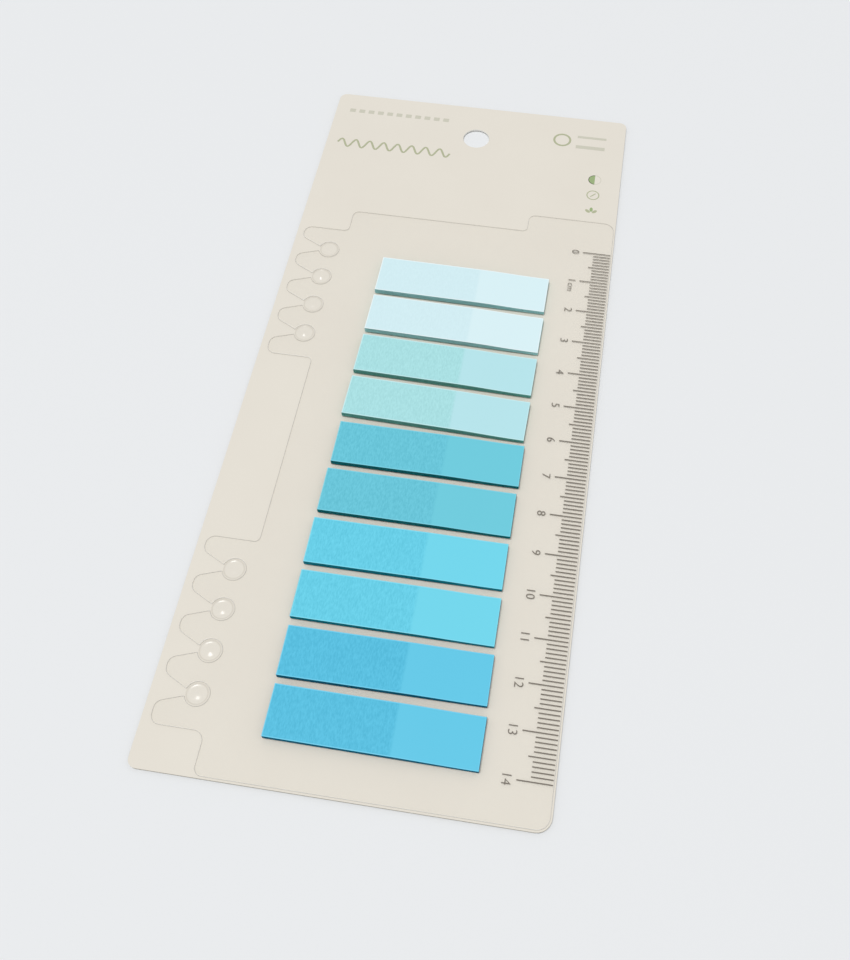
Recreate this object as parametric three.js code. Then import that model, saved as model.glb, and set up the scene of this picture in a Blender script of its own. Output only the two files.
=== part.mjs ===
// Sticky index tabs: ten pads of film tabs on a clear loose-leaf ruler board, carried by a
// hang card. Millimetres, +Z up, +Y towards the card's header, origin under the card's middle.
import * as THREE from 'three';

// Hang card
const CARD_WIDTH = 85.0;
const CARD_LENGTH = 201.5;
const CARD_THICKNESS = 0.45;
const CARD_CORNER_RADIUS = 3.2;
const HANG_HOLE_DIAMETER = 7.5;
const HANG_HOLE_BELOW_EDGE = 12.95;

// Clear ruler board: its body, and its place on the card
const BOARD_THICKNESS = 0.4;
const BOARD_BODY_WIDTH = 71.0;
const BOARD_LENGTH = 160.4;
const BOARD_EDGE_MARGIN = 0.4;
const BOARD_SHOULDER_DROP = 6.0;
const BOARD_SHOULDER_WIDTH = 47.7;
const BOARD_SCALE_CORNER_RADIUS = 2.8;
const BOARD_SPINE_CORNER_RADIUS = 1.8;
const BOARD_INNER_CORNER_RADIUS = 1.2;
const BOARD_FOOT_CORNER_RADIUS = 2.2;

// Snap-in notches for binder rings, in two groups along the board's spine edge
const RING_PITCH = 9.5;
const RINGS_PER_GROUP = 4;
const GROUP_PITCHES_APART = 10;
const UPPER_GROUP_BELOW_ZERO = 23.5;
const RING_HOLE_DIAMETER = 5.2;
const RING_HOLE_WALL = 1.05;
const NOTCH_THROAT = 1.4;
const NOTCH_REACH = 8.1;
const TOOTH_TIP_WIDTH = 3.3;
const LEAD_IN_UPPER_SHARE = 0.565;
const END_TOOTH_LENGTH = 7.4;
const TOOTH_UPPER_RADIUS = 1.9;
const TOOTH_LOWER_RADIUS = 2.2;
const END_TOOTH_RADIUS = 2.1;

// The printed scale starts this far below the board's top edge
const SCALE_ZERO_BELOW_TOP = 11.5;

// Tab pads: leaves of film, glued along one part of their length and loose on the rest
const PAD_COUNT = 10;
const PAD_LENGTH = 44.0;
const PAD_HEIGHT = 11.1;
const PAD_PITCH = 13.03;
const PAD_FROM_SCALE_EDGE = 15.5;
const FIRST_PAD_BELOW_ZERO = 16.9;
const LEAVES_PER_PAD = 20;
const LEAF_THICKNESS = 0.05;
const GLUE_THICKNESS = 0.02;
const GLUED_LENGTH = 26.0;
const LEAF_RELAX_LENGTH = 15.0;

// How far each pad strays from its nominal place, in millimetres, and its turn in degrees
const PAD_STRAY_X = [0.05, 0.05, -0.1, -0.2, 0.05, -0.15, -0.25, -0.1, 0.2, 0.5];
const PAD_TURN = [-0.6, -1.0, -1.1, -1.3, 0, 0, 0.2, 0, 0.25, -0.3];

// Colours, two pads to each
const CARD_COLOUR = '#e6e0d4';
const BOARD_COLOUR = '#dfe0d6';
const PAD_COLOURS = ['#d7f0f6', '#b0e6e8', '#6ecade', '#70d2ea', '#62c5e8'];

// Segments in each rounded corner and in a full turn of a hole
const CORNER_SEGMENTS = 6;
const HOLE_SEGMENTS = 32;

// Places that follow from the sizes
const cardTop = CARD_LENGTH / 2;
const boardRight = CARD_WIDTH / 2 - BOARD_EDGE_MARGIN;
const boardBottom = -CARD_LENGTH / 2 + BOARD_EDGE_MARGIN;
const boardTop = boardBottom + BOARD_LENGTH;
const spineX = boardRight - BOARD_BODY_WIDTH;
const scaleZeroY = boardTop - SCALE_ZERO_BELOW_TOP;
const ringHoleRadius = RING_HOLE_DIAMETER / 2;
const ringHoleX = spineX - RING_HOLE_WALL - ringHoleRadius;
const toothTipX = ringHoleX - NOTCH_REACH;

function corner(x, y, radius = 0) {
  return { x, y, radius };
}

// Replaces one corner by the arc that touches both of its sides
function roundedCorner(before, point, after) {
  if (point.radius === 0) {
    return [new THREE.Vector2(point.x, point.y)];
  }
  const vertex = new THREE.Vector2(point.x, point.y);
  const inward = new THREE.Vector2(before.x, before.y).sub(vertex).normalize();
  const outward = new THREE.Vector2(after.x, after.y).sub(vertex).normalize();
  const halfAngle = Math.acos(inward.dot(outward)) / 2;
  const bisector = inward.clone().add(outward).normalize();
  const centre = vertex.clone().addScaledVector(bisector, point.radius / Math.sin(halfAngle));
  const tangentLength = point.radius / Math.tan(halfAngle);
  const start = vertex.clone().addScaledVector(inward, tangentLength).sub(centre);
  const turnsLeft = inward.cross(outward) < 0;
  const sweep = (Math.PI - 2 * halfAngle) * (turnsLeft ? 1 : -1);
  const arc = [];
  for (let i = 0; i <= CORNER_SEGMENTS; i++) {
    const angle = sweep * i / CORNER_SEGMENTS;
    arc.push(start.clone().rotateAround(new THREE.Vector2(), angle).add(centre));
  }
  return arc;
}

// Closed outline through a list of corners, each with its own radius
function roundedOutline(corners) {
  const count = corners.length;
  return corners.flatMap((point, i) => {
    const before = corners[(i + count - 1) % count];
    const after = corners[(i + 1) % count];
    return roundedCorner(before, point, after);
  });
}

function sheetGeometry(shape, thickness) {
  return new THREE.ExtrudeGeometry(shape, { depth: thickness, bevelEnabled: false });
}

function material(colour, roughness, opacity = 1) {
  return new THREE.MeshStandardMaterial({
    color: colour,
    roughness,
    metalness: 0,
    opacity,
    transparent: opacity < 1,
  });
}

function namedMesh(name, geometry, surface) {
  const mesh = new THREE.Mesh(geometry, surface);
  mesh.name = name;
  return mesh;
}

// Printed card with its round hang hole near the top edge
function backingCard() {
  const halfWidth = CARD_WIDTH / 2;
  const halfLength = CARD_LENGTH / 2;
  const shape = new THREE.Shape(roundedOutline([
    corner(-halfWidth, -halfLength, CARD_CORNER_RADIUS),
    corner(halfWidth, -halfLength, CARD_CORNER_RADIUS),
    corner(halfWidth, halfLength, CARD_CORNER_RADIUS),
    corner(-halfWidth, halfLength, CARD_CORNER_RADIUS),
  ]));
  const hangHoleY = cardTop - HANG_HOLE_BELOW_EDGE;
  const rim = [];
  for (let i = 0; i < HOLE_SEGMENTS; i++) {
    const angle = -2 * Math.PI * i / HOLE_SEGMENTS;
    const spoke = new THREE.Vector2(HANG_HOLE_DIAMETER / 2, 0).rotateAround(new THREE.Vector2(), angle);
    rim.push(spoke.add(new THREE.Vector2(0, hangHoleY)));
  }
  shape.holes.push(new THREE.Path(rim));
  return namedMesh('backing_card', sheetGeometry(shape, CARD_THICKNESS), material(CARD_COLOUR, 0.8));
}

// One ring notch, walked downwards: slanted lead-in, round hole, shallower lead-in back out
function ringNotch(holeY) {
  const mouth = RING_PITCH - TOOTH_TIP_WIDTH;
  const upperLip = holeY + mouth * LEAD_IN_UPPER_SHARE;
  const lowerLip = upperLip - mouth;
  const throatAngle = Math.PI - Math.asin(NOTCH_THROAT / 2 / ringHoleRadius);
  const points = [corner(toothTipX, upperLip, TOOTH_LOWER_RADIUS)];
  const steps = HOLE_SEGMENTS;
  for (let i = 0; i <= steps; i++) {
    const angle = throatAngle * (1 - 2 * i / steps);
    const x = ringHoleX + ringHoleRadius * Math.cos(angle);
    const y = holeY + ringHoleRadius * Math.sin(angle);
    points.push(corner(x, y));
  }
  points.push(corner(toothTipX, lowerLip, TOOTH_UPPER_RADIUS));
  return points;
}

// A group of notches that stands out of the spine edge, walked downwards
function notchGroup(middleY, lowerInnerRadius) {
  const halfSpan = (RINGS_PER_GROUP - 1) * RING_PITCH / 2;
  const groupTop = middleY + halfSpan + END_TOOTH_LENGTH;
  const groupBottom = middleY - halfSpan - END_TOOTH_LENGTH;
  const points = [
    corner(spineX, groupTop, BOARD_INNER_CORNER_RADIUS),
    corner(toothTipX, groupTop, END_TOOTH_RADIUS),
  ];
  for (let i = 0; i < RINGS_PER_GROUP; i++) {
    points.push(...ringNotch(middleY + halfSpan - i * RING_PITCH));
  }
  points.push(
    corner(toothTipX, groupBottom, END_TOOTH_RADIUS),
    corner(spineX, groupBottom, lowerInnerRadius),
  );
  return points;
}

// Clear board: ruler edge on the right, shoulder at the top, ring notches on the left
function rulerBoard() {
  const shoulderX = spineX + BOARD_SHOULDER_WIDTH;
  const shoulderY = boardTop - BOARD_SHOULDER_DROP;
  const upperGroupY = scaleZeroY - UPPER_GROUP_BELOW_ZERO;
  const lowerGroupY = upperGroupY - GROUP_PITCHES_APART * RING_PITCH;
  const shape = new THREE.Shape(roundedOutline([
    corner(spineX, boardBottom, BOARD_SPINE_CORNER_RADIUS),
    corner(boardRight, boardBottom, BOARD_SCALE_CORNER_RADIUS),
    corner(boardRight, boardTop, BOARD_SCALE_CORNER_RADIUS),
    corner(shoulderX, boardTop, BOARD_SPINE_CORNER_RADIUS),
    corner(shoulderX, shoulderY, BOARD_INNER_CORNER_RADIUS),
    corner(spineX, shoulderY, BOARD_SPINE_CORNER_RADIUS),
    ...notchGroup(upperGroupY, BOARD_INNER_CORNER_RADIUS),
    ...notchGroup(lowerGroupY, BOARD_FOOT_CORNER_RADIUS),
  ]));
  const mesh = namedMesh('ruler_board', sheetGeometry(shape, BOARD_THICKNESS), material(BOARD_COLOUR, 0.2, 0.35));
  mesh.position.z = CARD_THICKNESS;
  return mesh;
}

// Side view of a pad: full height over the glue, then easing down to the bare leaves
function padProfile() {
  const looseHeight = LEAVES_PER_PAD * LEAF_THICKNESS;
  const glueHeight = LEAVES_PER_PAD * GLUE_THICKNESS;
  const left = -PAD_LENGTH / 2;
  const glueEnd = left + GLUED_LENGTH;
  const points = [
    new THREE.Vector2(left, 0),
    new THREE.Vector2(left + PAD_LENGTH, 0),
    new THREE.Vector2(left + PAD_LENGTH, looseHeight),
  ];
  const steps = 8;
  for (let i = steps; i >= 0; i--) {
    const share = i / steps;
    const eased = (1 + Math.cos(Math.PI * share)) / 2;
    points.push(new THREE.Vector2(glueEnd + LEAF_RELAX_LENGTH * share, looseHeight + glueHeight * eased));
  }
  points.push(new THREE.Vector2(left, looseHeight + glueHeight));
  return new THREE.Shape(points);
}

function tabPad(index) {
  const geometry = sheetGeometry(padProfile(), PAD_HEIGHT);
  geometry.rotateX(Math.PI / 2);
  geometry.translate(0, PAD_HEIGHT / 2, 0);
  const number = String(index + 1).padStart(2, '0');
  const colour = PAD_COLOURS[Math.floor(index / 2)];
  const mesh = namedMesh(`tab_pad_${number}`, geometry, material(colour, 0.45));
  mesh.position.set(
    boardRight - PAD_FROM_SCALE_EDGE - PAD_LENGTH / 2 + PAD_STRAY_X[index],
    scaleZeroY - FIRST_PAD_BELOW_ZERO - index * PAD_PITCH,
    CARD_THICKNESS + BOARD_THICKNESS,
  );
  mesh.rotation.z = THREE.MathUtils.degToRad(PAD_TURN[index]);
  return mesh;
}

const tabs = new THREE.Group();
tabs.add(backingCard(), rulerBoard());
for (let i = 0; i < PAD_COUNT; i++) {
  tabs.add(tabPad(i));
}

export default tabs;
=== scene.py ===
import math
import random

import bpy
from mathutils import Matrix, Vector


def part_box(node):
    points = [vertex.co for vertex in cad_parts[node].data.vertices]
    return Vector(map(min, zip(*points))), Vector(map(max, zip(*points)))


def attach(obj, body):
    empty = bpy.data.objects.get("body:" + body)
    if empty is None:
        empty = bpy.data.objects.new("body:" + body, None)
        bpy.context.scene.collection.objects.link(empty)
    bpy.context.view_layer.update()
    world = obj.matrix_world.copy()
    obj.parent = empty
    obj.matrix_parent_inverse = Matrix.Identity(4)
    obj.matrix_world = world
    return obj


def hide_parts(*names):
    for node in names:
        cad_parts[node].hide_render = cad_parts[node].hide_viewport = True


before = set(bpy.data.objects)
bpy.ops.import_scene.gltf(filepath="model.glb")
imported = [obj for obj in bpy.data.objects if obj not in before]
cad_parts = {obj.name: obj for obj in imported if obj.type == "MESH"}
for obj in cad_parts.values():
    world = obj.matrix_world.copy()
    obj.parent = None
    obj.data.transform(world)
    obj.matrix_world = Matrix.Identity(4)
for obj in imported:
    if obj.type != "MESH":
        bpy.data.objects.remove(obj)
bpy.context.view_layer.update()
MM = 0.001

# Camera. It looks down on the front of the card at about sixty degrees, from a little right of it,
# as the photograph does. The lens and the small shift come from the ruler's own millimetre marks.
CAMERA_PLACE_MM = (31.2, -140.05, 200.7)
CAMERA_TURN_DEG = (30.075, -0.133, 8.801)
CAMERA_LENS_MM = 37.46
CAMERA_SENSOR_MM = 36.0
CAMERA_SHIFT_X = -0.0406
CAMERA_NEAR_M = 0.01

camera_data = bpy.data.cameras.new("camera")
camera_data.lens = CAMERA_LENS_MM
camera_data.sensor_width = CAMERA_SENSOR_MM
camera_data.shift_x = CAMERA_SHIFT_X
camera_data.clip_start = CAMERA_NEAR_M
camera = bpy.data.objects.new("camera", camera_data)
camera.location = [value * MM for value in CAMERA_PLACE_MM]
camera.rotation_euler = [math.radians(angle) for angle in CAMERA_TURN_DEG]
bpy.context.scene.collection.objects.link(camera)
bpy.context.scene.camera = camera


# Backing card. One die-cut sheet of coated white board, printed a warm off-white all over, with a
# punched hang hole. The die presses its top edge a little round. Three of its corners are tighter
# than the CAD card's, and only the lower right one keeps its radius.
CARD_EDGE_ROUNDING_MM = 0.09
CAD_CORNER_MM = 3.2
CARD_CORNER_MM = 2.0
ON_ARC_WITHIN_MM = 0.01
CARD_COLOUR = "#e8e3d8"
CARD_SHADE_COLOUR = "#e3ddd2"
# The outer cut sides are painted a darker grey-brown as shade along the card's edges. The hang hole's wall
# is painted near-white as light that lifts it out of its shade.
CARD_SIDE_SHADE_COLOUR = "#aea799"
HOLE_WALL_PAINTED_LIGHT_COLOUR = "#fbf9f4"
HANG_HOLE_MM = 7.5
HANG_HOLE_BELOW_EDGE_MM = 12.95
CLOUDS_PER_MM = 0.045
FIBRES_PER_MM = 2.5
FIBRE_RELIEF_MM = 0.02


def linear(colour):
    """An sRGB hex colour as linear red, green, blue and alpha."""
    channels = [int(colour[i:i + 2], 16) / 255 for i in (1, 3, 5)]
    return [c / 12.92 if c <= 0.04045 else ((c + 0.055) / 1.055) ** 2.4 for c in channels] + [1.0]


def add_node(material, kind, settings=None, inputs=None):
    """Adds a node, with its settings, and its inputs as plain values or as sockets to link from."""
    tree = material.node_tree
    node = tree.nodes.new(kind)
    for name, value in (settings or {}).items():
        setattr(node, name, value)
    for name, value in (inputs or {}).items():
        if isinstance(value, bpy.types.NodeSocket):
            tree.links.new(value, node.inputs[name])
        else:
            node.inputs[name].default_value = value
    return node


def new_material(name):
    """An empty node material with its output node."""
    material = bpy.data.materials.new(name)
    material.use_nodes = True
    material.node_tree.nodes.clear()
    return material, add_node(material, "ShaderNodeOutputMaterial")


# A sheet is merged, its sharp edges are rounded, and its faces are told apart by how upright their
# normals stand.
MERGE_MM = 0.001
SAME_PLANE_DEG = 0.5
ROUNDED_FROM_DEG = 60
ROUNDING_STEPS = 3
SMOOTH_UP_TO_DEG = 40
FLAT_FROM = 0.95
SIDE_BELOW = 0.3


def sheet_from_node(node_name, piece_name, edge_rounding_mm):
    """A merged copy of a sheet's CAD node, whose long edges are slightly rounded."""
    bpy.ops.object.select_all(action="DESELECT")
    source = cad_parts[node_name]
    piece = bpy.data.objects.new(piece_name, source.data.copy())
    piece.data.materials.clear()
    bpy.context.scene.collection.objects.link(piece)
    bpy.context.view_layer.objects.active = piece
    piece.select_set(True)
    bpy.ops.object.mode_set(mode="EDIT")
    bpy.ops.mesh.select_all(action="SELECT")
    bpy.ops.mesh.remove_doubles(threshold=MERGE_MM * MM)
    bpy.ops.mesh.dissolve_limited(angle_limit=math.radians(SAME_PLANE_DEG))
    bpy.ops.object.mode_set(mode="OBJECT")
    bevel = piece.modifiers.new("rounded_edges", "BEVEL")
    bevel.width = edge_rounding_mm * MM
    bevel.segments = ROUNDING_STEPS
    bevel.angle_limit = math.radians(ROUNDED_FROM_DEG)
    bpy.ops.object.modifier_apply(modifier=bevel.name)
    bpy.ops.object.shade_smooth_by_angle(angle=math.radians(SMOOTH_UP_TO_DEG))
    for face in piece.data.polygons:
        face.use_smooth = abs(face.normal.z) < FLAT_FROM
    return piece


def coated_card():
    """Clay-coated paperboard, offset printed: smooth and dull, with a faint unevenness of tone.

    The fibres under the coating are drawn coarser than real ones, which would be too fine to show.
    """
    material, output = new_material("coated_card")
    place = add_node(material, "ShaderNodeTexCoord").outputs["Object"]
    clouds = add_node(material, "ShaderNodeTexNoise", None, {
        "Vector": place, "Scale": CLOUDS_PER_MM / MM, "Detail": 3.0})
    tone = add_node(material, "ShaderNodeMix", {"data_type": "RGBA"}, {
        "Factor": clouds.outputs["Fac"], "A": linear(CARD_COLOUR), "B": linear(CARD_SHADE_COLOUR)})
    fibres = add_node(material, "ShaderNodeTexNoise", None, {
        "Vector": place, "Scale": FIBRES_PER_MM / MM, "Detail": 2.0})
    bump = add_node(material, "ShaderNodeBump", None, {
        "Height": fibres.outputs["Fac"], "Strength": 0.12, "Distance": FIBRE_RELIEF_MM * MM})
    surface = add_node(material, "ShaderNodeBsdfPrincipled", None, {
        "Base Color": tone.outputs["Result"], "Roughness": 0.6, "Specular IOR Level": 0.2,
        "Normal": bump.outputs["Normal"]})
    material.node_tree.links.new(surface.outputs["BSDF"], output.inputs["Surface"])
    return material


def cut_board(name, colour):
    """A cut side of the board in one flat colour: painted shade on the outer edges, painted light on the
    hang hole's wall.
    """
    material, output = new_material(name)
    surface = add_node(material, "ShaderNodeBsdfPrincipled", None, {
        "Base Color": linear(colour), "Roughness": 0.9, "Specular IOR Level": 0.1})
    material.node_tree.links.new(surface.outputs["BSDF"], output.inputs["Surface"])
    return material


def tighten_corner(sheet, side_x, side_y):
    """Redraws one corner of the card with the smaller radius, between the same straight edges."""
    low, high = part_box("backing_card")
    centre_x = (high.x if side_x > 0 else low.x) - side_x * CAD_CORNER_MM * MM
    centre_y = (high.y if side_y > 0 else low.y) - side_y * CAD_CORNER_MM * MM
    step = (CAD_CORNER_MM - CARD_CORNER_MM) * MM
    for vertex in sheet.data.vertices:
        across, along = vertex.co.x - centre_x, vertex.co.y - centre_y
        if min(across * side_x, along * side_y) > -ON_ARC_WITHIN_MM * MM:
            distance = math.hypot(across, along)
            vertex.co.x += step * (side_x - across / distance)
            vertex.co.y += step * (side_y - along / distance)


card = sheet_from_node("backing_card", "printed_card", CARD_EDGE_ROUNDING_MM)
for side_x, side_y in ((-1, 1), (1, 1), (-1, -1)):
    tighten_corner(card, side_x, side_y)
card.data.materials.append(coated_card())
card.data.materials.append(cut_board("card_side_painted_shade", CARD_SIDE_SHADE_COLOUR))
card.data.materials.append(cut_board("hole_wall_painted_light", HOLE_WALL_PAINTED_LIGHT_COLOUR))
card_low, card_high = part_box("backing_card")
hole_x = (card_low.x + card_high.x) / 2
hole_y = card_high.y - HANG_HOLE_BELOW_EDGE_MM * MM
hole_reach = (HANG_HOLE_MM / 2 + CARD_EDGE_ROUNDING_MM) * MM
# Upright faces take the painted shade, except the hang hole's wall, which takes the painted light.
for face in card.data.polygons:
    if abs(face.normal.z) > SIDE_BELOW:
        face.material_index = 0
    elif math.hypot(face.center.x - hole_x, face.center.y - hole_y) > hole_reach:
        face.material_index = 1
    else:
        face.material_index = 2
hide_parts("backing_card")
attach(card, "root")


# Ruler board. A sheet of clear plastic, die-cut with ring notches on its left edge. Its faces are
# nearly invisible over the card. The knife leaves a rounded rim, painted white as a highlight, and a
# cut side painted a darker grey-brown as shade.
BOARD_EDGE_ROUNDING_MM = 0.24
BOARD_LIFT_MM = 0.02
BOARD_FACE_COLOUR = "#f1eee6"
BOARD_RIM_HIGHLIGHT_COLOUR = "#ffffff"
BOARD_SIDE_SHADE_COLOUR = "#918b79"


def clear_sheet(name, colour, share, metal, roughness):
    """Clear PET sheet: light passes through, and a share of it is sent back by the surface."""
    material, output = new_material(name)
    open_part = add_node(material, "ShaderNodeBsdfTransparent")
    surface = add_node(material, "ShaderNodeBsdfPrincipled", None, {
        "Base Color": linear(colour), "Metallic": metal, "Roughness": roughness})
    sheet = add_node(material, "ShaderNodeMixShader", None, {
        "Fac": share, 1: open_part.outputs["BSDF"], 2: surface.outputs["BSDF"]})
    material.node_tree.links.new(sheet.outputs["Shader"], output.inputs["Surface"])
    return material


board = sheet_from_node("ruler_board", "clear_ruler_board", BOARD_EDGE_ROUNDING_MM)
# The rim's white is a painted highlight, and the cut side's grey-brown is a painted shade.
for part, colour, share, roughness in (
    ("face", BOARD_FACE_COLOUR, 0.03, 0.12),
    ("rim", BOARD_RIM_HIGHLIGHT_COLOUR, 0.5, 0.5),
    ("cut_side_painted_shade", BOARD_SIDE_SHADE_COLOUR, 0.28, 0.5),
):
    board.data.materials.append(clear_sheet("clear_sheet_" + part, colour, share, 0.0, roughness))

# The underside is lifted a hair, so that it never shares a plane with the card.
board_low, board_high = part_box("ruler_board")
for vertex in board.data.vertices:
    depth_share = (board_high.z - vertex.co.z) / (board_high.z - board_low.z)
    vertex.co.z += BOARD_LIFT_MM * MM * depth_share
# Slanting faces take the painted highlight, and upright ones take the painted shade.
for face in board.data.polygons:
    if abs(face.normal.z) > FLAT_FROM:
        face.material_index = 0
    elif face.normal.z > SIDE_BELOW:
        face.material_index = 1
    else:
        face.material_index = 2
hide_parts("ruler_board")
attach(board, "root")


# Film dimples. The clear film drawn over the board sinks a little into each ring hole and rises
# again in its middle, which gives the small round glints that the photograph shows there.
RING_HOLE_X_MM = -32.55
RING_HOLE_PITCH_MM = 9.5
TOP_RING_HOLE_Y_MM = (39.3, -55.7)
DIMPLE_SIDES = 40
FOLD_WIDTH_MM = 0.3
FOLD_SHADE_COLOUR = "#b9b0a1"
FILM_COLOUR = "#ffffff"
DIMPLE_TOP_BELOW_BOARD_MM = 0.06

# The radii and heights of a dimple's rings, from the rim to the middle, and how deep and how domed
# each dimple of the two groups is.
RING_RADII_MM = (2.4, 2.1, 1.75, 1.4, 1.0, 0.6, 0.25)
RIM_HEIGHTS_MM = (0.34, 0.2, 0.12, 0.12, 0.12, 0.12, 0.12)
DOME_HEIGHTS_MM = (0, 0, 0, 0, 0.08, 0.17, 0.21)
DIMPLE_DEPTHS = ((0.8, 1.1, 0.7, 0.9), (0.9, 1.2, 1.2, 1.0))
DOME_SHARES = ((1.4, 2.1, 1.5, 1.8), (0.6, 0.9, 0.95, 0.65))


def joined(name, parts):
    """Joins pieces into one, in place."""
    bpy.ops.object.select_all(action="DESELECT")
    for part in parts:
        part.select_set(True)
    bpy.context.view_layer.objects.active = parts[0]
    bpy.ops.object.join()
    parts[0].name = name
    return parts[0]


def film_dimple(centre_y_mm, depth, dome_share):
    """Concentric rings that step down from the hole's rim and up again to the middle."""
    bpy.ops.object.select_all(action="DESELECT")
    heights = [rim * depth + dome * dome_share for rim, dome in zip(RIM_HEIGHTS_MM, DOME_HEIGHTS_MM)]
    radius, height = RING_RADII_MM[0], heights[0]
    place = (RING_HOLE_X_MM * MM, centre_y_mm * MM, board_high.z - DIMPLE_TOP_BELOW_BOARD_MM * MM)
    bpy.ops.mesh.primitive_circle_add(
        vertices=DIMPLE_SIDES, radius=radius * MM, fill_type="NGON", location=place)
    piece = bpy.context.object
    bpy.ops.object.mode_set(mode="EDIT")
    for inner_radius, inner_height in zip(RING_RADII_MM[1:], heights[1:]):
        bpy.ops.mesh.inset(thickness=(radius - inner_radius) * MM, depth=(inner_height - height) * MM)
        radius, height = inner_radius, inner_height
    bpy.ops.object.mode_set(mode="OBJECT")
    piece.data.materials.append(wrapping_film)
    piece.data.materials.append(film_fold_shade)
    for face in piece.data.polygons:
        on_fold = face.center.xy.length > (RING_RADII_MM[0] - FOLD_WIDTH_MM) * MM
        face.material_index = 1 if on_fold else 0
    bpy.ops.object.transform_apply(location=True, rotation=True, scale=True)
    bpy.ops.object.shade_smooth()
    return piece


# Thin film shows only by its sharp glints, and where it is folded at the rim by a faint grey painted
# shade.
wrapping_film = clear_sheet("clear_wrapping_film", FILM_COLOUR, 0.022, 1.0, 0.2)
film_fold_shade = clear_sheet("film_fold_shade", FOLD_SHADE_COLOUR, 0.13, 0.0, 0.3)
dimples = joined("film_dimples", [
    film_dimple(top_y - i * RING_HOLE_PITCH_MM, depth, dome_share)
    for top_y, depths, dome_shares in zip(TOP_RING_HOLE_Y_MM, DIMPLE_DEPTHS, DOME_SHARES)
    for i, (depth, dome_share) in enumerate(zip(depths, dome_shares))])
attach(dimples, "root")


# Printed scale. Millimetre, half-centimetre and centimetre marks with their figures, screen
# printed in grey-brown ink along the board's right edge, from 0 to 14 cm.
SCALE_ZERO_Y_MM = 48.55
SCALE_RIGHT_X_MM = 41.85
SCALE_CENTIMETRES = 14
MARK_WIDTH_MM = 0.24
MILLIMETRE_MARK_MM = 4.5
HALF_MARK_MM = 5.5
CENTIMETRE_MARK_MM = 7.3
FIGURE_SIZE_MM = 2.8
FIGURE_BASE_X_MM = 31.65
FIGURE_THINNING = 0.01
FIGURE_CURVE_STEPS = 4
UNIT_AT_MM = 12.4
UNIT_SIZE_SHARE = 0.85
INK_THICKNESS_MM = 0.008
INK_LIFT_MM = 0.002
INK_SPOTS_PER_MM = 3.0
INK_SPOT_LIGHTENING = 1.06
SCALE_INK_COLOUR = "#746c62"


def ink(name, colour):
    """Opaque printing ink: an even film that dries dull, with tiny thin spots, drawn coarser than real."""
    material, output = new_material(name)
    place = add_node(material, "ShaderNodeTexCoord").outputs["Object"]
    spots = add_node(material, "ShaderNodeTexNoise", None, {
        "Vector": place, "Scale": INK_SPOTS_PER_MM / MM})
    lighter = [min(1.0, channel * INK_SPOT_LIGHTENING) for channel in linear(colour)]
    tone = add_node(material, "ShaderNodeMix", {"data_type": "RGBA"}, {
        "Factor": spots.outputs["Fac"], "A": linear(colour), "B": lighter})
    surface = add_node(material, "ShaderNodeBsdfPrincipled", None, {
        "Base Color": tone.outputs["Result"], "Roughness": 0.6})
    material.node_tree.links.new(surface.outputs["BSDF"], output.inputs["Surface"])
    return material


def box_mm(name, low, high):
    """A box between two corners given in millimetres."""
    bpy.ops.object.select_all(action="DESELECT")
    middle = [(a + b) / 2 * MM for a, b in zip(low, high)]
    size = [(b - a) * MM for a, b in zip(low, high)]
    bpy.ops.mesh.primitive_cube_add(size=1, location=middle, scale=size)
    piece = bpy.context.object
    piece.name = name
    bpy.ops.object.transform_apply(location=True, rotation=True, scale=True)
    return piece


def repeated(piece, count, step_mm):
    """Repeats a piece at even steps."""
    array = piece.modifiers.new("repeat", "ARRAY")
    array.use_relative_offset = False
    array.use_constant_offset = True
    array.constant_offset_displace = [value * MM for value in step_mm]
    array.count = count
    bpy.context.view_layer.objects.active = piece
    bpy.ops.object.modifier_apply(modifier=array.name)
    return piece


def marks(name, first_mm, step_mm, count, start_mm, end_mm):
    """A row of equal marks, each running leftwards from start to end behind the scale's right side."""
    ink_low = board_high.z / MM + INK_LIFT_MM
    middle_y = SCALE_ZERO_Y_MM - first_mm
    low = (SCALE_RIGHT_X_MM - end_mm, middle_y - MARK_WIDTH_MM / 2, ink_low)
    high = (SCALE_RIGHT_X_MM - start_mm, middle_y + MARK_WIDTH_MM / 2, ink_low + INK_THICKNESS_MM)
    return repeated(box_mm(name, low, high), count, (0, -step_mm, 0))


def figure(text, along_mm, size_mm=FIGURE_SIZE_MM):
    """A figure printed beside its mark, reading down the scale."""
    bpy.ops.object.select_all(action="DESELECT")
    ink_middle = board_high.z + INK_THICKNESS_MM / 2 * MM
    place = (FIGURE_BASE_X_MM * MM, (SCALE_ZERO_Y_MM - along_mm) * MM, ink_middle)
    bpy.ops.object.text_add(location=place, rotation=(0, 0, -math.pi / 2))
    letters = bpy.context.object
    letters.data.body = text
    letters.data.size = size_mm * MM
    letters.data.align_x = "CENTER"
    letters.data.extrude = INK_THICKNESS_MM / 2 * MM
    letters.data.offset = -FIGURE_THINNING * size_mm * MM
    letters.data.resolution_u = FIGURE_CURVE_STEPS
    bpy.ops.object.convert(target="MESH")
    bpy.ops.object.transform_apply(location=True, rotation=True, scale=True)
    return bpy.context.object


scale_ink = ink("scale_ink", SCALE_INK_COLOUR)
scale_marks = joined("scale_marks", [
    marks("millimetres", 0, 1, SCALE_CENTIMETRES * 10 + 1, 0, MILLIMETRE_MARK_MM),
    marks("half_centimetres", 5, 10, SCALE_CENTIMETRES, MILLIMETRE_MARK_MM, HALF_MARK_MM),
    marks("centimetres", 0, 10, SCALE_CENTIMETRES + 1, MILLIMETRE_MARK_MM, CENTIMETRE_MARK_MM),
])
figures = [figure(str(number), number * 10) for number in range(SCALE_CENTIMETRES + 1)]
figures.append(figure("cm", UNIT_AT_MM, FIGURE_SIZE_MM * UNIT_SIZE_SHARE))
scale_figures = joined("scale_figures", figures)
for printed in (scale_marks, scale_figures):
    printed.data.materials.clear()
    printed.data.materials.append(scale_ink)
    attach(printed, "root")


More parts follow.
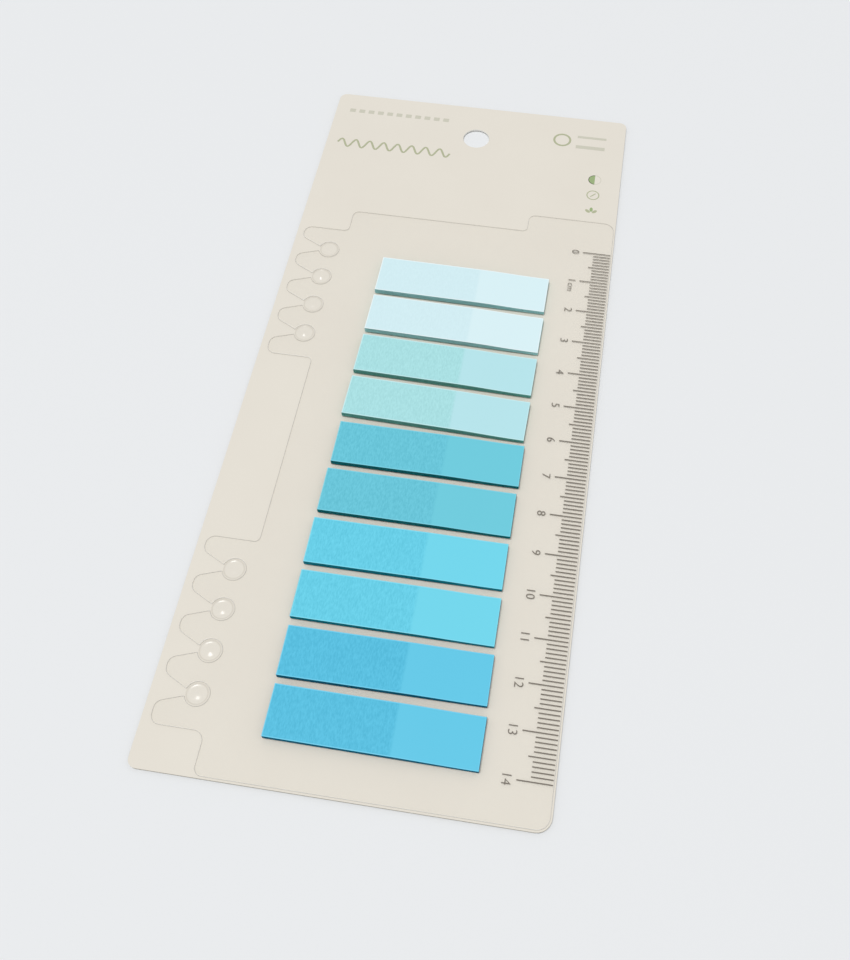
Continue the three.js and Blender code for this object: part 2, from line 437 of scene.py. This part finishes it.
# Header print. Plain ornaments in a pale grey-green and two greens stand where such a card has its
# words: a row of small blocks, a wave, a ring with two bars, and three small round signs.
HEADER_PALE_COLOUR = "#cac8b8"
HEADER_GREEN_COLOUR = "#b0b494"
HEADER_LEAF_COLOUR = "#98ae7a"
BLOCK_COUNT = 11
BLOCK_MM = (1.7, 1.4)
BLOCK_PITCH_MM = 2.78
BLOCK_START_MM = (-38.5, 93.35)
WAVE_START_MM = (-39.2, 80.4)
WAVE_LENGTH_MM = 32.6
WAVE_HEIGHT_MM = 1.5
WAVE_COUNT = 8
STEPS_PER_WAVE = 16
WAVE_STROKE_MM = 0.55
RING_PLACE_MM = (24.6, 91.1)
RING_RADIUS_MM = 2.6
RING_STROKE_MM = 0.6
BAR_LONG_MM = (28.7, 37.0, 88.3, 89.6)
BAR_SHORT_MM = (28.9, 37.2, 92.6, 93.5)
SIGN_X_MM = 35.3
SIGN_Y_MM = (76.4, 70.4, 64.3)
SIGN_RADIUS_MM = 1.8
SIGN_STROKE_MM = 0.3
SLASH_SHARE = 1.1
SPRIG_LEAF_MM = 0.8
SPRIG_LEAF_NARROWING = 0.55
SIDE_LEAF_PLACE_MM = (0.95, -0.1)
SIDE_LEAF_TURN_DEG = 50
TOP_LEAF_PLACE_MM = (0, 0.55)
DISC_SIDES = 48

header_low = card_high.z / MM + INK_LIFT_MM
header_high = header_low + INK_THICKNESS_MM


def disc(name, centre_mm, radius_mm, hole_mm=0.0):
    """A flat printed disc, or a ring where it has a hole."""
    bpy.ops.object.select_all(action="DESELECT")
    place = (centre_mm[0] * MM, centre_mm[1] * MM, header_low * MM)
    bpy.ops.mesh.primitive_circle_add(
        vertices=DISC_SIDES, radius=radius_mm * MM, fill_type="NGON", location=place)
    piece = bpy.context.object
    piece.name = name
    bpy.ops.object.mode_set(mode="EDIT")
    if hole_mm:
        bpy.ops.mesh.inset(thickness=(radius_mm - hole_mm) * MM)
        bpy.ops.mesh.delete(type="FACE")
        bpy.ops.mesh.select_all(action="SELECT")
    bpy.ops.mesh.extrude_region_move(TRANSFORM_OT_translate={"value": (0, 0, INK_THICKNESS_MM * MM)})
    bpy.ops.mesh.select_all(action="SELECT")
    bpy.ops.mesh.normals_make_consistent(inside=False)
    bpy.ops.object.mode_set(mode="OBJECT")
    bpy.ops.object.transform_apply(location=True, rotation=True, scale=True)
    return piece


def wave_line():
    """A long even wave drawn with one stroke."""
    bpy.ops.object.select_all(action="DESELECT")
    curve = bpy.data.curves.new("wave_line", "CURVE")
    curve.dimensions = "3D"
    spline = curve.splines.new("POLY")
    steps = WAVE_COUNT * STEPS_PER_WAVE
    spline.points.add(steps)
    for i, point in enumerate(spline.points):
        x = WAVE_START_MM[0] + WAVE_LENGTH_MM * i / steps
        y = WAVE_START_MM[1] + WAVE_HEIGHT_MM * math.sin(2 * math.pi * WAVE_COUNT * i / steps)
        point.co = (x * MM, y * MM, 0, 1)
    curve.bevel_depth = WAVE_STROKE_MM / 2 * MM
    curve.use_fill_caps = True
    line = bpy.data.objects.new("wave_line", curve)
    bpy.context.scene.collection.objects.link(line)
    line.select_set(True)
    bpy.context.view_layer.objects.active = line
    bpy.ops.object.convert(target="MESH")
    line = bpy.context.object
    squeeze = INK_THICKNESS_MM / WAVE_STROKE_MM
    for vertex in line.data.vertices:
        vertex.co.z = vertex.co.z * squeeze + (header_low + header_high) / 2 * MM
    return line


def bar(name, sides_mm):
    """A flat printed bar between four sides."""
    left, right, bottom, top = sides_mm
    return box_mm(name, (left, bottom, header_low), (right, top, header_high))


def slash():
    """The short slanting bar inside the middle sign."""
    long, thick = SIGN_RADIUS_MM * SLASH_SHARE, SIGN_STROKE_MM
    piece = box_mm("slash", (-long / 2, -thick / 2, header_low), (long / 2, thick / 2, header_high))
    for vertex in piece.data.vertices:
        along, across = vertex.co.x, vertex.co.y
        vertex.co.x = (along - across) * math.sqrt(0.5) + SIGN_X_MM * MM
        vertex.co.y = (along + across) * math.sqrt(0.5) + SIGN_Y_MM[1] * MM
    return piece


def half_disc():
    """The left half of the upper sign, printed solid."""
    piece = disc("half_disc", (SIGN_X_MM, SIGN_Y_MM[0]), SIGN_RADIUS_MM)
    bpy.ops.object.mode_set(mode="EDIT")
    bpy.ops.mesh.select_all(action="SELECT")
    bpy.ops.mesh.bisect(
        plane_co=(SIGN_X_MM * MM, 0, 0), plane_no=(1, 0, 0), clear_outer=True, use_fill=True)
    bpy.ops.object.mode_set(mode="OBJECT")
    return piece


def leaf(name, sideways_mm, up_mm, turn_deg):
    """One small long leaf of the lower sign."""
    piece = disc(name, (0, 0), SPRIG_LEAF_MM)
    turn = math.radians(turn_deg)
    for vertex in piece.data.vertices:
        across, along = vertex.co.x * SPRIG_LEAF_NARROWING, vertex.co.y
        vertex.co.x = across * math.cos(turn) - along * math.sin(turn) + (SIGN_X_MM + sideways_mm) * MM
        vertex.co.y = across * math.sin(turn) + along * math.cos(turn) + (SIGN_Y_MM[2] + up_mm) * MM
    return piece


block = bar("block", (BLOCK_START_MM[0], BLOCK_START_MM[0] + BLOCK_MM[0],
                      BLOCK_START_MM[1], BLOCK_START_MM[1] + BLOCK_MM[1]))
pale_print = joined("header_pale_print", [
    repeated(block, BLOCK_COUNT, (BLOCK_PITCH_MM, 0, 0)),
    bar("long_bar", BAR_LONG_MM),
    bar("short_bar", BAR_SHORT_MM),
    disc("upper_sign", (SIGN_X_MM, SIGN_Y_MM[0]), SIGN_RADIUS_MM, SIGN_RADIUS_MM - SIGN_STROKE_MM / 2),
])
green_print = joined("header_green_print", [
    wave_line(),
    disc("ring", RING_PLACE_MM, RING_RADIUS_MM, RING_RADIUS_MM - RING_STROKE_MM),
    disc("middle_sign", (SIGN_X_MM, SIGN_Y_MM[1]), SIGN_RADIUS_MM, SIGN_RADIUS_MM - SIGN_STROKE_MM),
    slash(),
    leaf("left_leaf", -SIDE_LEAF_PLACE_MM[0], SIDE_LEAF_PLACE_MM[1], SIDE_LEAF_TURN_DEG),
    leaf("right_leaf", SIDE_LEAF_PLACE_MM[0], SIDE_LEAF_PLACE_MM[1], -SIDE_LEAF_TURN_DEG),
])
leaf_print = joined("header_leaf_print", [
    half_disc(),
    leaf("top_leaf", TOP_LEAF_PLACE_MM[0], TOP_LEAF_PLACE_MM[1], 0),
])
for printed, colour in (
    (pale_print, HEADER_PALE_COLOUR),
    (green_print, HEADER_GREEN_COLOUR),
    (leaf_print, HEADER_LEAF_COLOUR),
):
    printed.data.materials.clear()
    printed.data.materials.append(ink(printed.name + "_ink", colour))
    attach(printed, "root")


# Tab pads. Each is a stack of film strips, gummed to each other over their left part and loose on
# the right, so the stack is thicker on the left and its top strip shows the gum's fine wrinkles.
PAD_COUNT = 10
PADS_PER_SHADE = 2
LEAVES_PER_PAD = 20
LEAF_MM = 0.05
GUM_MM = 0.02
PAD_LENGTH_MM = 44.0
PAD_HEIGHT_MM = 11.1
GUMMED_MM = 26.0
RELAX_MM = 15.0
LEAF_STRAY_MM = 0.035
STRAY_SEED = 7
RIM_WIDTH_MM = 0.22
RELAX_CUTS = 8
LEAF_GAP_MM = 0.004
STACK_LIFT_MM = 0.002
GUM_EDGE_MM = 0.5
WRINKLES_PER_MM = 3.3
WRINKLE_STRETCH = 0.35
WRINKLE_RELIEF_MM = 0.035
SIDE_STREAKS_PER_MM = 0.12
SIDE_STREAK_FLATTENING = 60.0
SIDE_DARKENING = 0.7
UPWARDS_FROM = 0.7
PAD_TURN_DEG = (-0.6, -1.0, -1.1, -1.3, 0, 0, 0.2, 0, 0.25, -0.3)

# One colour per shade, from the palest pads at the top to the deepest blue ones: the smooth film,
# the painted highlight on its wrinkles' crests and the painted shade in their creases, its rim's
# painted highlight, and the stack's sides darkened with painted shade.
LEAF_COLOURS = ("#dbf3f8", "#b8e6ed", "#6fcddf", "#72d8ee", "#63cae9")
CREST_HIGHLIGHT_COLOURS = ("#d6f1f7", "#b0e7ea", "#6fcde1", "#6dd6ef", "#5cc6e7")
CREASE_SHADE_COLOURS = ("#d2edf3", "#a4dbde", "#61bfd3", "#5fc8e1", "#4eb8d9")
RIM_HIGHLIGHT_COLOURS = ("#ecf9fc", "#c9eff3", "#7dd4e6", "#7fdef3", "#70d0ef")
SIDE_SHADE_COLOURS = ("#b8eff0", "#75c0b5", "#0c858e", "#0497ad", "#007797")


def film_top(name, smooth_colour, crest_highlight_colour, crease_shade_colour, gum_end):
    """Satin polypropylene film: smooth where it is loose, finely wrinkled over the gum, with a painted
    highlight on the wrinkles' crests and painted shade in their creases.
    """
    material, output = new_material(name)
    place = add_node(material, "ShaderNodeTexCoord").outputs["Object"]
    axes = add_node(material, "ShaderNodeSeparateXYZ", None, {"Vector": place})
    on_gum = add_node(material, "ShaderNodeMapRange", {"interpolation_type": "SMOOTHSTEP"}, {
        "Value": axes.outputs["X"], "From Min": gum_end + GUM_EDGE_MM * MM,
        "From Max": gum_end - GUM_EDGE_MM * MM})
    stretched = add_node(material, "ShaderNodeMapping", None, {
        "Vector": place, "Scale": (1.0, WRINKLE_STRETCH, 1.0)})
    wrinkles = add_node(material, "ShaderNodeTexNoise", None, {
        "Vector": stretched.outputs["Vector"], "Scale": WRINKLES_PER_MM / MM, "Detail": 2.0,
        "Roughness": 0.5})
    creases = add_node(material, "ShaderNodeMapRange", None, {
        "Value": wrinkles.outputs["Fac"], "From Min": 0.3, "From Max": 0.7})
    # Crests lighter and creases darker: painted highlight and painted shade over the gum, on top of the
    # bump's relief.
    wrinkled = add_node(material, "ShaderNodeMix", {"data_type": "RGBA"}, {
        "Factor": creases.outputs["Result"], "A": linear(crest_highlight_colour), "B": linear(crease_shade_colour)})
    tone = add_node(material, "ShaderNodeMix", {"data_type": "RGBA"}, {
        "Factor": on_gum.outputs["Result"], "A": linear(smooth_colour), "B": wrinkled.outputs["Result"]})
    relief = add_node(material, "ShaderNodeMath", {"operation": "MULTIPLY"}, {
        0: on_gum.outputs["Result"], 1: wrinkles.outputs["Fac"]})
    bump = add_node(material, "ShaderNodeBump", None, {
        "Height": relief.outputs["Value"], "Strength": 1.0,
        "Distance": WRINKLE_RELIEF_MM * MM})
    surface = add_node(material, "ShaderNodeBsdfPrincipled", None, {
        "Base Color": tone.outputs["Result"], "Roughness": 0.45, "Specular IOR Level": 0.15,
        "Normal": bump.outputs["Normal"]})
    material.node_tree.links.new(surface.outputs["BSDF"], output.inputs["Surface"])
    return material


def film_rim(name, colour):
    """The cut rim of the top strip, painted lighter as a highlight where its edge catches the light."""
    material, output = new_material(name)
    surface = add_node(material, "ShaderNodeBsdfPrincipled", None, {
        "Base Color": linear(colour), "Roughness": 0.45, "Specular IOR Level": 0.15})
    material.node_tree.links.new(surface.outputs["BSDF"], output.inputs["Surface"])
    return material


def film_side(name, colour):
    """The cut sides of the stack: film edges a little darker than the faces as light sinks into them, and
    darkened further with painted shade.
    """
    material, output = new_material(name)
    place = add_node(material, "ShaderNodeTexCoord").outputs["Object"]
    flattened = add_node(material, "ShaderNodeMapping", None, {
        "Vector": place, "Scale": (1.0, 1.0, SIDE_STREAK_FLATTENING)})
    streaks = add_node(material, "ShaderNodeTexNoise", None, {
        "Vector": flattened.outputs["Vector"], "Scale": SIDE_STREAKS_PER_MM / MM})
    darker = [channel * SIDE_DARKENING for channel in linear(colour)[:3]] + [1.0]
    tone = add_node(material, "ShaderNodeMix", {"data_type": "RGBA"}, {
        "Factor": streaks.outputs["Fac"], "A": linear(colour), "B": darker})
    surface = add_node(material, "ShaderNodeBsdfPrincipled", None, {
        "Base Color": tone.outputs["Result"], "Roughness": 0.7, "Specular IOR Level": 0.1})
    material.node_tree.links.new(surface.outputs["BSDF"], output.inputs["Surface"])
    return material


def loose_share(along_mm):
    """0 over the gum, easing to 1 where the strips lie loose."""
    share = min(max((along_mm - GUMMED_MM) / RELAX_MM, 0), 1)
    return (1 - math.cos(math.pi * share)) / 2


def film_strip():
    """One strip, modelled once: a thin box cut across where it eases down past the gum."""
    far_corner = (PAD_LENGTH_MM, PAD_HEIGHT_MM / 2, LEAF_MM - LEAF_GAP_MM)
    strip = box_mm("film_strip", (0, -PAD_HEIGHT_MM / 2, 0), far_corner)
    bpy.ops.object.mode_set(mode="EDIT")
    for i in range(RELAX_CUTS + 1):
        bpy.ops.mesh.select_all(action="SELECT")
        along = (GUMMED_MM + RELAX_MM * i / RELAX_CUTS) * MM
        bpy.ops.mesh.bisect(plane_co=(along, 0, 0), plane_no=(1, 0, 0))
    for rim_x in (RIM_WIDTH_MM, PAD_LENGTH_MM - RIM_WIDTH_MM):
        bpy.ops.mesh.select_all(action="SELECT")
        bpy.ops.mesh.bisect(plane_co=(rim_x * MM, 0, 0), plane_no=(1, 0, 0))
    for rim_y in (RIM_WIDTH_MM - PAD_HEIGHT_MM / 2, PAD_HEIGHT_MM / 2 - RIM_WIDTH_MM):
        bpy.ops.mesh.select_all(action="SELECT")
        bpy.ops.mesh.bisect(plane_co=(0, rim_y * MM, 0), plane_no=(0, 1, 0))
    bpy.ops.object.mode_set(mode="OBJECT")
    return strip


def strip_height_mm(along_mm, level):
    """How high a level's strip lies in the stack: lower where no gum lies under it."""
    return STACK_LIFT_MM + level * (LEAF_MM + GUM_MM * (1 - loose_share(along_mm)))


def strip_copy(strip, level, sideways):
    """A copy of the strip at its level in the stack."""
    copy = bpy.data.objects.new("leaf", strip.data.copy())
    bpy.context.scene.collection.objects.link(copy)
    for vertex in copy.data.vertices:
        vertex.co.z += strip_height_mm(vertex.co.x / MM, level) * MM
        vertex.co.x += sideways[0] * MM
        vertex.co.y += sideways[1] * MM
    return copy


chance = random.Random(STRAY_SEED)
strip = film_strip()
for number in range(1, PAD_COUNT + 1):
    node_name = f"tab_pad_{number:02d}"
    pad_low, pad_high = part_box(node_name)
    middle = (pad_low + pad_high) / 2
    strays = [(chance.uniform(-1, 1) * LEAF_STRAY_MM, chance.uniform(-1, 1) * LEAF_STRAY_MM)
              for level in range(LEAVES_PER_PAD)]
    pad = joined(f"tab_stack_{number:02d}", [
        strip_copy(strip, level, strays[level]) for level in range(LEAVES_PER_PAD)])
    shade = (number - 1) // PADS_PER_SHADE
    gum_end = middle.x + (GUMMED_MM - PAD_LENGTH_MM / 2) * MM
    pad.data.materials.clear()
    pad.data.materials.append(film_top(
        f"film_top_{number:02d}", LEAF_COLOURS[shade], CREST_HIGHLIGHT_COLOURS[shade], CREASE_SHADE_COLOURS[shade],
        gum_end))
    pad.data.materials.append(film_rim(f"film_rim_{number:02d}", RIM_HIGHLIGHT_COLOURS[shade]))
    pad.data.materials.append(film_side(f"film_side_{number:02d}", SIDE_SHADE_COLOURS[shade]))
    for face in pad.data.polygons:
        # The top strip's rim takes the painted highlight, and every face below the top takes the sides'
        # painted shade.
        on_rim_highlight = not (RIM_WIDTH_MM < face.center.x / MM < PAD_LENGTH_MM - RIM_WIDTH_MM
                      and abs(face.center.y / MM) < PAD_HEIGHT_MM / 2 - RIM_WIDTH_MM)
        top_strip = strip_height_mm(face.center.x / MM, LEAVES_PER_PAD - 1) * MM
        on_top = face.normal.z > UPWARDS_FROM and face.center.z > top_strip + LEAF_MM / 2 * MM
        face.material_index = 2 if not on_top else 1 if on_rim_highlight else 0
    turn = math.radians(PAD_TURN_DEG[number - 1])
    for vertex in pad.data.vertices:
        x = vertex.co.x - PAD_LENGTH_MM / 2 * MM
        y = vertex.co.y
        vertex.co.x = middle.x + x * math.cos(turn) - y * math.sin(turn)
        vertex.co.y = middle.y + x * math.sin(turn) + y * math.cos(turn)
        vertex.co.z += pad_low.z
    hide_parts(node_name)
    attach(pad, "root")
bpy.data.objects.remove(strip)


# Studio. A plain pale floor, a broad soft light from above and the left, and even light all round.
FLOOR_COLOUR = "#eaecee"
FLOOR_DROP_MM = 0.25
FLOOR_SIZE_M = 6.0
WORLD_STRENGTH = 0.5
KEY_PLACE_M = (-1.6, -0.8, 10.2)
KEY_SIZE_M = 3.0
KEY_POWER_W = 540.0


def painted_floor():
    """A matt pale surface, even and without texture."""
    material, output = new_material("pale_floor")
    surface = add_node(material, "ShaderNodeBsdfPrincipled", None, {
        "Base Color": linear(FLOOR_COLOUR), "Roughness": 0.8})
    material.node_tree.links.new(surface.outputs["BSDF"], output.inputs["Surface"])
    return material


bpy.ops.object.select_all(action="DESELECT")
bpy.ops.mesh.primitive_plane_add(size=FLOOR_SIZE_M, location=(0, 0, -FLOOR_DROP_MM * MM))
floor = bpy.context.object
floor.name = "floor"
floor.data.materials.append(painted_floor())

key_data = bpy.data.lights.new("key_light", "AREA")
key_data.shape = "DISK"
key_data.size = KEY_SIZE_M
key_data.energy = KEY_POWER_W
key = bpy.data.objects.new("key_light", key_data)
key.location = KEY_PLACE_M
key.rotation_euler = (-Vector(KEY_PLACE_M)).to_track_quat("-Z", "Y").to_euler()
bpy.context.scene.collection.objects.link(key)

world = bpy.data.worlds.new("studio")
world.use_nodes = True
world.node_tree.nodes["Background"].inputs["Color"].default_value = (1, 1, 1, 1)
world.node_tree.nodes["Background"].inputs["Strength"].default_value = WORLD_STRENGTH
bpy.context.scene.world = world
bpy.context.scene.view_settings.view_transform = "Standard"
